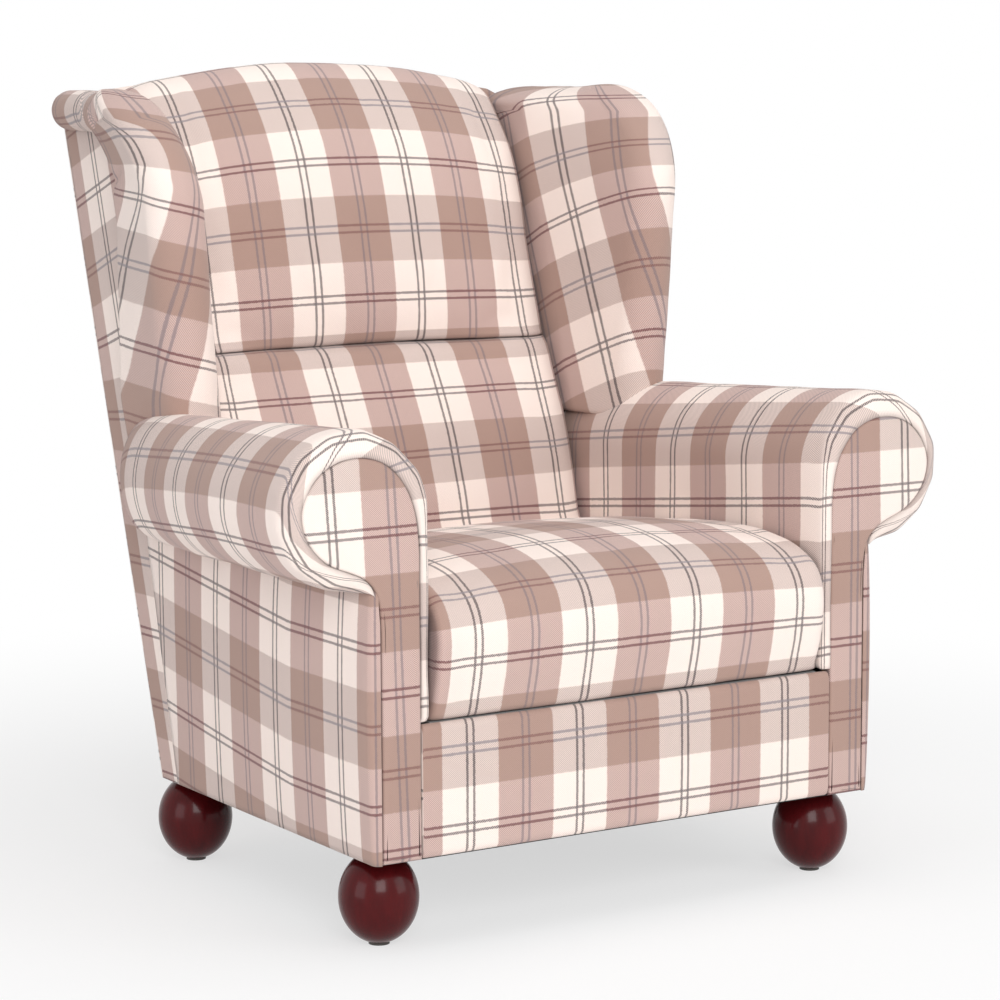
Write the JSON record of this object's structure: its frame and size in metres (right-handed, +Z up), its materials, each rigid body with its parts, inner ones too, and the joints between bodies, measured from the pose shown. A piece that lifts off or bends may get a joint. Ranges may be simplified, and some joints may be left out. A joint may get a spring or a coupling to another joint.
{
  "type": "fireside chair",
  "caption": "Upholstered wing armchair with a tucked raked back, side wings, scrolled padded arms, a deep sprung seat and four turned ball feet",
  "frame": {"origin": "on the floor, under the middle of the chair's bounding box", "axes": "+Z up, the chair faces -Y, +X is to the right of a viewer who stands in front of it"},
  "size_m": [0.9714, 0.88, 1.06],
  "materials": {
    "check_cloth": "woven check cloth in cream, taupe, maroon and grey",
    "frame_wood": "sawn beech",
    "former_board": "bent hardboard",
    "foot_lacquer": "dark red-brown gloss lacquer",
    "foam": "open-cell foam",
    "felt": "needled felt",
    "webbing": "woven elastic webbing",
    "dust_cloth": "black non-woven cloth",
    "steel": "zinc-plated steel",
    "glide_plastic": "moulded nylon"
  },
  "bodies": {
    "root": {"front_rail": "frame_wood", "rear_rail": "frame_wood", "side_rail_left": "frame_wood", "side_rail_right": "frame_wood", "corner_blocks": "frame_wood", "corner_screws": "steel", "arm_scroll_board_left": "frame_wood", "arm_scroll_board_right": "frame_wood", "arm_rail_left": "frame_wood", "arm_rail_right": "frame_wood", "arm_former_left": "former_board", "arm_former_right": "former_board", "back_post_left": "frame_wood", "back_post_right": "frame_wood", "back_top_rail": "frame_wood", "back_tuck_rail": "frame_wood", "back_bottom_rail": "frame_wood", "wing_board_left": "frame_wood", "wing_board_right": "frame_wood", "seat_springs": "steel", "spring_clips": "steel", "spring_insulator": "felt", "back_webbing": "webbing", "seat_foam": "foam", "border_foam": "foam", "back_foam_lower": "foam", "back_foam_upper": "foam", "arm_foam_left": "foam", "arm_foam_right": "foam", "wing_foam_left": "foam", "wing_foam_right": "foam", "seat_cover": "check_cloth", "front_border": "check_cloth", "back_cover_lower": "check_cloth", "back_cover_upper": "check_cloth", "arm_cover_left": "check_cloth", "arm_cover_right": "check_cloth", "arm_front_panel_left": "check_cloth", "arm_front_panel_right": "check_cloth", "wing_cover_left": "check_cloth", "wing_cover_right": "check_cloth", "outside_arm_left": "check_cloth", "outside_arm_right": "check_cloth", "outside_wing_left": "check_cloth", "outside_wing_right": "check_cloth", "outside_back": "check_cloth", "dust_cover": "dust_cloth", "foot_front_left": "foot_lacquer", "foot_front_right": "foot_lacquer", "foot_rear_left": "foot_lacquer", "foot_rear_right": "foot_lacquer", "foot_bolts": "steel", "foot_tee_nuts": "steel", "foot_glides": "glide_plastic"}
  },
  "joints": []
}
